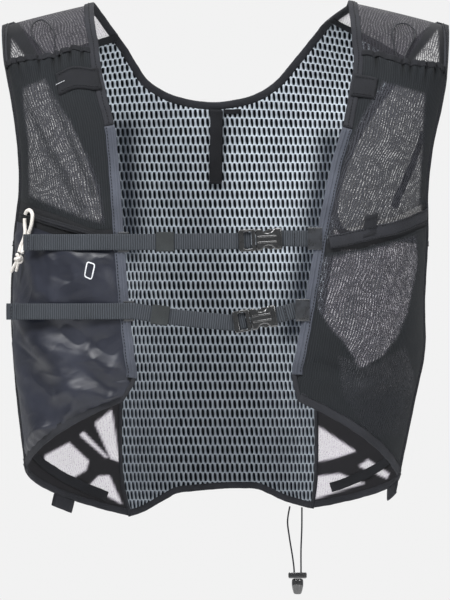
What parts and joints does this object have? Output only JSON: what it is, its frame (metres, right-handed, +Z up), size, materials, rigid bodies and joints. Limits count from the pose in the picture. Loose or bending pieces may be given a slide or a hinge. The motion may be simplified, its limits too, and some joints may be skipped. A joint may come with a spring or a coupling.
{
  "type": "running hydration vest",
  "caption": "Worn running hydration vest: air-mesh back, sheer sides and shoulders, stretch and nylon chest pockets, two chest straps with side-release buckles on rails",
  "frame": {"origin": "where the vest sits on the wearer's shoulders: midway between them, at the height of the top of the shoulder line beside the neck", "axes": "+Z up, -Y forward out of the wearer's chest, +X to the wearer's left, which is the right of the picture"},
  "size_m": [0.4118, 0.2194, 0.5472],
  "materials": {
    "air_mesh": "warp-knit air mesh in grey blue over a dark backing",
    "sheer_mesh": "sheer grey stretch mesh",
    "stretch_mesh": "ribbed elastic mesh in dark grey",
    "nylon": "thin dark blue-grey nylon with a sheen",
    "binding": "matt elastic tape in charcoal",
    "rail": "stiff woven tape, dark blue grey",
    "webbing": "ribbed polyester webbing in charcoal",
    "plastic": "black moulded acetal with a soft shine",
    "black_tape": "black tape, bare",
    "dark_cord": "thin black elastic cord",
    "white_cord": "off-white braided cord"
  },
  "bodies": {
    "root": {"back_panel": "air_mesh", "shoulder_yoke_left": "sheer_mesh", "shoulder_yoke_right": "sheer_mesh", "front_panel_left": "sheer_mesh", "front_panel_right": "sheer_mesh", "side_panel_left": "sheer_mesh", "side_panel_right": "sheer_mesh", "upper_pocket_left": "stretch_mesh", "upper_pocket_right": "stretch_mesh", "lower_pocket_right": "stretch_mesh", "lower_pocket_left": "nylon", "neck_binding": "binding", "armhole_binding_front_left": "binding", "armhole_binding_front_right": "binding", "armhole_binding_back_left": "binding", "armhole_binding_back_right": "binding", "hem_binding": "binding", "front_edge_left": "binding", "front_edge_right": "binding", "front_hem_left": "binding", "front_hem_right": "binding", "yoke_seam_left": "binding", "yoke_seam_right": "binding", "side_strap_left": "binding", "side_strap_right": "binding", "pocket_zip_left": "binding", "pocket_band_right": "binding", "hem_tab_left": "binding", "hem_tab_right": "binding", "keeper_upper": "binding", "keeper_lower": "binding", "rail_left": "rail", "rail_right": "rail", "strap_upper": "webbing", "strap_lower": "webbing", "strap_upper_right": "webbing", "strap_lower_right": "webbing", "hook_left_upper": "plastic", "hook_left_lower": "plastic", "hook_right_upper": "plastic", "hook_right_lower": "plastic", "buckle_male_upper": "plastic", "buckle_female_upper": "plastic", "buckle_male_lower": "plastic", "buckle_female_lower": "plastic", "cord_lock": "plastic", "cord_end": "plastic", "hang_loop": "black_tape", "neck_label": "black_tape", "elastic_tab_left": "black_tape", "elastic_tab_right": "black_tape", "mid_tab_right": "black_tape", "shoulder_loop_left": "dark_cord", "shoulder_loop_right": "dark_cord", "drawcord_left": "dark_cord", "drawcord_right": "dark_cord", "pull_cord_front": "white_cord", "pull_cord_back": "white_cord", "pull_cord_knot": "white_cord"}
  },
  "joints": []
}
